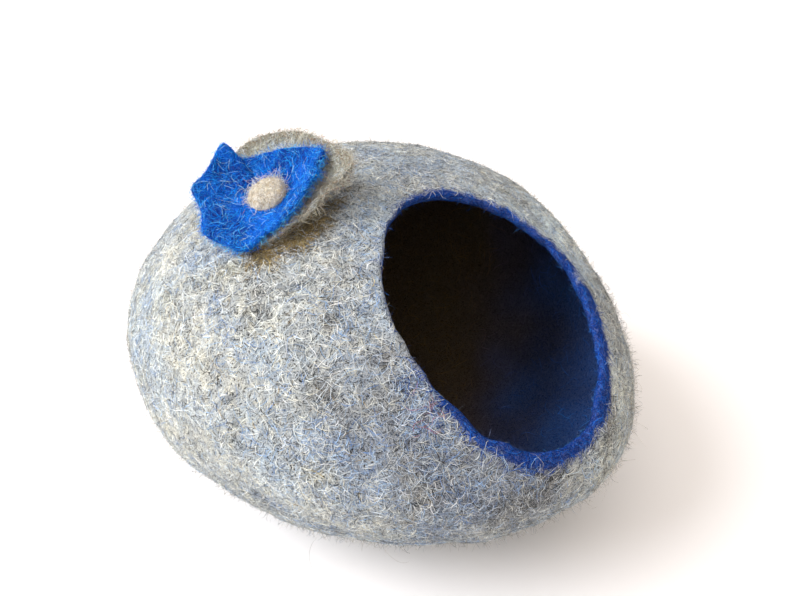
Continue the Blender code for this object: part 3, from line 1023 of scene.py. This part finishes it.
def shell_zones(surface):
    """What the shell's triangles are like, one number each.

    Returns their directions, the share of each wool, millimetres past the mouth's edge, 1 where they
    are inside, how blue they are, and how likely loose grey wool is.
    """
    ways = unit(surface.centre - MIDDLE)
    axis, right, up = mouth_axes()
    polar = np.arccos(np.clip(ways @ axis, -1, 1))
    bearing = np.degrees(np.arctan2(ways @ up, ways @ right))
    edge = np.radians(round_table(MOUTH, 1, bearing))
    past = (polar - edge) * np.linalg.norm(surface.centre - MIDDLE, axis=1) / MM
    shares = wool_shares(surface.centre)
    wools = {name: shares[:, number] for number, name in enumerate(BLEND)}
    inside = (np.sum(surface.normal * ways, axis=1) < 0) * 1.0
    # Only the blue wool has far more blue than red in it.
    blueness = ease(surface.shade[:, 2] - 1.6 * surface.shade[:, 0], 0.03, 0.18)
    blue_from = round_table(RIM_BLUE, 1, bearing)
    rim_share = ease(-(past - 3) / LIP_ARC, blue_from + GREY_FADE[0], blue_from + GREY_FADE[1])
    # Little loose wool is left on the flat underside.
    off_floor = 0.12 + 0.88 * ease(surface.centre[:, 2], 0.0, 0.004)
    grey = outside(surface) * off_floor * ease(past, 0.5, 5.0) * (1 - rim_share) ** 2
    return ways, wools, past, inside, blueness, grey


def lay_wool(surface, zones, rng):
    """The loose wools that lie in the shell's grey face."""
    ways, wools, past, _, _, grey = zones
    # name, chance of a fibre, colours, how many, points, length, curl, lift, width (millimetres)
    layers = (
        ("dark_fibres", 0.3 + 2 * wools["brown"] + wools["denim"] + 3 * wools["ochre"],
         ("343636", "46423c", "3c464e"), 16500, 4, 7.5, 7, 0.9, 0.28),
        ("blue_fibres", 0.2 + 1.5 * wools["sky"] + 4 * wools["denim"],
         ("a8c0d8", "92b0d2", "c0d2e2", "7c9ccc"), 13500, 4, 10, 9, 0.6, 0.30),
        ("cream_fibres", 0.25 + 2 * wools["cream"] + wools["olive"] - 0.2 * wools["ochre"],
         ("deddd2", "e4e5dc", "d2cfbe", "d2d4cc"), 19000, 4, 10, 9, 0.7, 0.31),
        # Beside the flower's foot the ochre is painted shadow: the dark and ochre fibres carry it there, and
        # fewer pale fibres lie in it.
        ("ochre_fibres", wools["ochre"] ** 1.5 + 0.001,
         ("a08a5c", "8a7446", "b8a674", "6e5c3a"), 1800, 4, 10, 9, 0.8, 0.31),
        ("white_fibres", 1.15 - wools["ochre"],
         ("e4e8e2", "d8dfe3", "eceee9", "d2dbe0"), 23000, 4, 10, 8, 0.9, 0.30),
        ("long_fibres", ease(past, 8.0, 16.0),
         ("dcdcd4", "d2d8da", "d0cabb"), 560, 12, 30, 16, 1.8, 0.20),
        ("pink_fibres", spot(ways, *PINK_SPOT),
         ("b4788c", "bc8c98", "a06c80"), 18, 7, 10, 8, 1.2, 0.30),
    )
    pieces = []
    for name, chance, hexes, count, steps, length, curl, lift, width in layers:
        places, spine, facing = lying_fibres(surface, chance * grey, count, length, curl, lift, steps, rng)
        # The fibres carry the painted shade and light of the felt about them.
        tints = fibre_colours(count, hexes, 0.14, rng) * painted_fibre_shading(places)
        widths = width * MM * rng.uniform(0.6, 1.4, count)
        rolls = rng.normal(0, 0.3, count)
        wool = wool_fibre("wool_" + name, "f4f4f0", tuft=0.7)
        pieces.append(ribbons("shell_" + name, spine, facing, widths, rolls, wool, tints))
    return pieces


def raise_hairs(surface, zones, rng):
    """The short fuzz and the stray hairs that stand off the shell."""
    ways, _, past, inside, _, grey = zones
    thicker = 1 + 1.2 * spot(ways, *FUZZY_SIDE)
    # name, chance of a hair, colours, how many, points, length, lean, curl, width (millimetres), bloom
    layers = (
        ("shell_fuzz", grey * ease(past, 1.0, 6.0) * thicker,
         ("b4aea2", "a0a8b0", "d2cec4", "747270"), 30000, 4, 6.5, 56, 4, 0.21, 0.5),
        ("shell_stray_hairs", grey, ("8c8678", "a49c8c", "6f6c66"), 320, 12, 25, 58, 8, 0.17, 0.3),
        ("rim_inside_hairs", inside * (past < 14),
         ("1c58b0", "2c74c8", "17448c", "4a86b8"), 600, 4, 5, 68, 4, 0.17, 0.3),
        ("rim_white_curls", (past > -1) * (past < 6) * 1.0,
         ("8ca0cc", "7c98cc", "a8b4c8"), 90, 7, 6, 72, 5, 0.11, 0.3),
    )
    pieces = []
    for name, chance, hexes, count, steps, length, lean, curl, width, bloom in layers:
        places, spine, facing = standing_hairs(surface, chance, count, length, lean, curl, steps, rng)
        # The hairs carry the painted shade and light of the felt about them.
        tints = fibre_colours(count, hexes, 0.12, rng) * painted_shading(places)[:, None]
        kept = near_body(spine)
        widths = width * MM * rng.uniform(0.6, 1.3, kept.sum())
        rolls = rng.normal(0, 1, kept.sum())
        wool = wool_fibre("wool_" + name, "ffffff", bloom)
        pieces.append(ribbons(name, spine[kept], facing[kept], widths, rolls, wool,
                              tints[kept]))
    return pieces


def line_with_fibres(surface, zones, rng):
    """The blue fibres that wrap the mouth's edge, and those that lie on the inside."""
    _, _, past, inside, blueness, _ = zones
    at_rim = blueness ** 0.6 * (past > -8) * (past < 14)
    _, spine, facing = lying_fibres(surface, at_rim, RIM_FIBRES, 10, 9, 0.35, 5, rng)
    tints = fibre_colours(RIM_FIBRES, ("0c3a8c", "1248a4", "0a2c74", "2a62b8", "10285c"), 0.12, rng)
    widths = MM * rng.uniform(0.2, 0.4, RIM_FIBRES)
    rolls = rng.normal(0, 0.3, RIM_FIBRES)
    wool = wool_fibre("blue_wool_rim_fibres", "3f8cff", 0.12)
    rim = ribbons("rim_blue_fibres", spine, facing, widths, rolls, wool, tints)
    places, spine, facing = lying_fibres(surface, inside * (past > 5), LINING_FIBRES, 16, 18, 1.6, 4, rng)
    # The lining's fibres take its colours, with the painted shade at the back.
    tints = lining_colour(places) * np.exp(rng.normal(0.45, 0.5, (LINING_FIBRES, 1)).clip(-1, 1))
    widths = MM * rng.uniform(0.25, 0.5, LINING_FIBRES)
    rolls = rng.normal(0, 0.5, LINING_FIBRES)
    wool = wool_fibre("blue_wool_lining_fibres", "3a5aa8", 0.1)
    lining = ribbons("lining_fibres", spine, facing, widths, rolls, wool,
                     np.clip(tints, 0, 0.9))
    return [rim, lining]


def dress_shell(shell):
    """Loose wool over the shell's outside, its rim and its inside."""
    surface = Surface(shell)
    zones = shell_zones(surface)
    rng = np.random.default_rng(SHELL_SEED)
    pieces = lay_wool(surface, zones, rng)
    pieces += raise_hairs(surface, zones, rng)
    pieces += line_with_fibres(surface, zones, rng)


def heather_petal(points):
    """Grey and olive wool with a little cream in it."""
    grey, olive, cream = map(rgb, OUTER_PETAL_WOOLS)
    mixed = blend(grey, olive, ease(waves(points, 14, 31), -0.6, 1.2)[..., None])
    return blend(mixed, cream, ease(waves(points, 9, 32), 0.2, 1.6)[..., None])


def shaded_petal_underside(points):
    """The underside of the grey petals in ochre and brown: painted shade under them, over a wool with some
    ochre of its own.
    """
    ochre, brown = map(rgb, PETAL_UNDERSIDE_SHADE)
    return blend(ochre, brown, ease(waves(points, 10, 35), -1.0, 1.0)[..., None])


def blue_petal(points):
    """Royal blue wool, a little deeper in patches."""
    deep, bright = map(rgb, INNER_PETAL_WOOLS)
    return blend(deep, bright, ease(waves(points, 16, 33), -1.0, 1.0)[..., None])


def petal_places(surface, seat):
    """Angles (degrees) and reaches (metres) of a surface's triangles about the flower's middle."""
    turn, place = seat
    own = (surface.centre - place) @ turn
    return np.degrees(np.arctan2(own[:, 1], own[:, 0])), np.hypot(own[:, 0], own[:, 1])


def near_edge(surface, rows, seat):
    """1 at the petals' edge and 0 well inside it, for each triangle."""
    angle, reach = petal_places(surface, seat)
    return ease(reach / (round_table(rows, 1, angle) * MM), 0.84, 0.98)


def covered(surface, seat):
    """Which triangles of the outer petals' upper face lie under the inner petals."""
    angle, reach = petal_places(surface, seat)
    beneath = reach < round_table(INNER_PETALS, 1, angle) * MM
    return beneath & (surface.normal @ seat[0][:, 2] > 0)


def dress_flower(pieces, seat):
    """Loose wool over the petals and the button."""
    rng = np.random.default_rng(FLOWER_SEED)
    surfaces = {part: Surface(piece) for part, piece in pieces.items()}
    chances = {"outer": np.where(covered(surfaces["outer"], seat), 0.02, 1.0), "inner": 1.0, "button": 1.0}
    edges = {"outer": near_edge(surfaces["outer"], OUTER_PETALS, seat),
             "inner": near_edge(surfaces["inner"], INNER_PETALS, seat), "button": 0.0}
    loose = {part: [] for part in pieces}
    for name, part, hexes, count, length, curl, lift, width, bloom in PETAL_FIBRES:
        _, spine, facing = lying_fibres(surfaces[part], chances[part], count, length, curl, lift, 5, rng)
        widths = width * MM * rng.uniform(0.6, 1.3, count)
        rolls = rng.normal(0, 0.5, count)
        tints = fibre_colours(count, hexes, 0.15, rng)
        wool = wool_fibre("wool_" + name, bloom, 0.2)
        loose[part].append(ribbons(name, spine, facing, widths, rolls, wool, tints))
    for name, part, hexes, count, length, lean, width, bloom in PETAL_FUZZ:
        chance = chances[part] * (1 + 9 * edges[part])
        _, spine, facing = standing_hairs(surfaces[part], chance, count, length, lean, HAIR_CURL, 4, rng)
        widths = width * MM * rng.uniform(0.6, 1.3, count)
        rolls = rng.normal(0, 1, count)
        tints = fibre_colours(count, hexes, 0.1, rng)
        wool = wool_fibre("wool_" + name, bloom, 0.3)
        loose[part].append(ribbons(name, spine, facing, widths, rolls, wool, tints))


def build_flower():
    """Two layers of petals and a button, with their loose wool."""
    seat = flower_seat()
    outer_middle = PETAL_GAP + PETAL_FELT
    inner_middle = outer_middle + PETAL_GAP + PETAL_FELT
    outer = build_petals("outer", OUTER_PETALS, outer_middle, seat, felt("wet_felted_olive_grey_wool"),
                         heather_petal, shaded_petal_underside, OUTER_LUMPS, 51)
    inner = build_petals("inner", INNER_PETALS, inner_middle, seat, felt("wet_felted_royal_blue_wool"),
                         blue_petal, blue_petal, INNER_LUMPS, 53)
    button = build_button(inner_middle, seat, felt("needle_felted_cream_wool"))
    dress_flower({"outer": outer, "inner": inner, "button": button}, seat)


# ---------------------------------------------------------------- floor, light and camera
def build_stage():
    """A plain pale floor, one soft lamp and the soft light of a pale room."""
    half = FLOOR_SIDE / 2
    corners = np.array(((-half, -half, 0), (half, -half, 0), (half, half, 0), (-half, half, 0)), float)
    floor = new_piece("matt_floor", corners, [(0, 1, 2, 3)], pale_floor())
    light = bpy.data.lights.new("soft_lamp", "SUN")
    light.energy = LAMP_STRENGTH
    light.angle = math.radians(LAMP_SOFTNESS)
    light.color = srgb(LAMP_COLOUR)[:3]
    lamp = bpy.data.objects.new("soft_lamp", light)
    towards = Vector(directions(LAMP_HEADING, LAMP_PITCH).tolist())
    lamp.rotation_euler = towards.to_track_quat("Z", "Y").to_euler()
    bpy.context.scene.collection.objects.link(lamp)
    world = bpy.data.worlds.new("pale_room")
    world.use_nodes = True
    tree = world.node_tree
    back = tree.nodes["Background"]
    back.inputs["Color"].default_value = srgb(ROOM_COLOUR)
    way = node(tree, "TexCoord").outputs["Generated"]
    brightest = tuple(directions(ROOM_HEADING, ROOM_PITCH).tolist())
    near = node(tree, "VectorMath", {0: way, 1: brightest}, operation="DOT_PRODUCT")
    strength = node(tree, "MapRange", {"Value": near.outputs["Value"], "From Min": -0.05, "From Max": 0.95,
                                       "To Min": ROOM_DIM, "To Max": ROOM_BRIGHT})
    tree.links.new(strength.outputs[0], back.inputs["Strength"])
    bpy.context.scene.world = world
    bpy.context.scene.view_settings.view_transform = "Standard"


def build_camera():
    """The camera at the photograph's place."""
    data = bpy.data.cameras.new("camera")
    data.lens = CAMERA_LENS
    data.sensor_width = FILM_WIDTH
    camera = bpy.data.objects.new("camera", data)
    right = Vector(CAMERA_RIGHT).normalized()
    up = Vector(CAMERA_UP)
    up = (up - right * up.dot(right)).normalized()
    turn = Matrix((right, up, right.cross(up))).transposed().to_4x4()
    camera.matrix_world = Matrix.Translation(CAMERA_PLACE) @ turn
    bpy.context.scene.collection.objects.link(camera)
    bpy.context.scene.camera = camera


build_camera()
build_stage()
cave = build_shell()
dress_shell(cave)
build_flower()
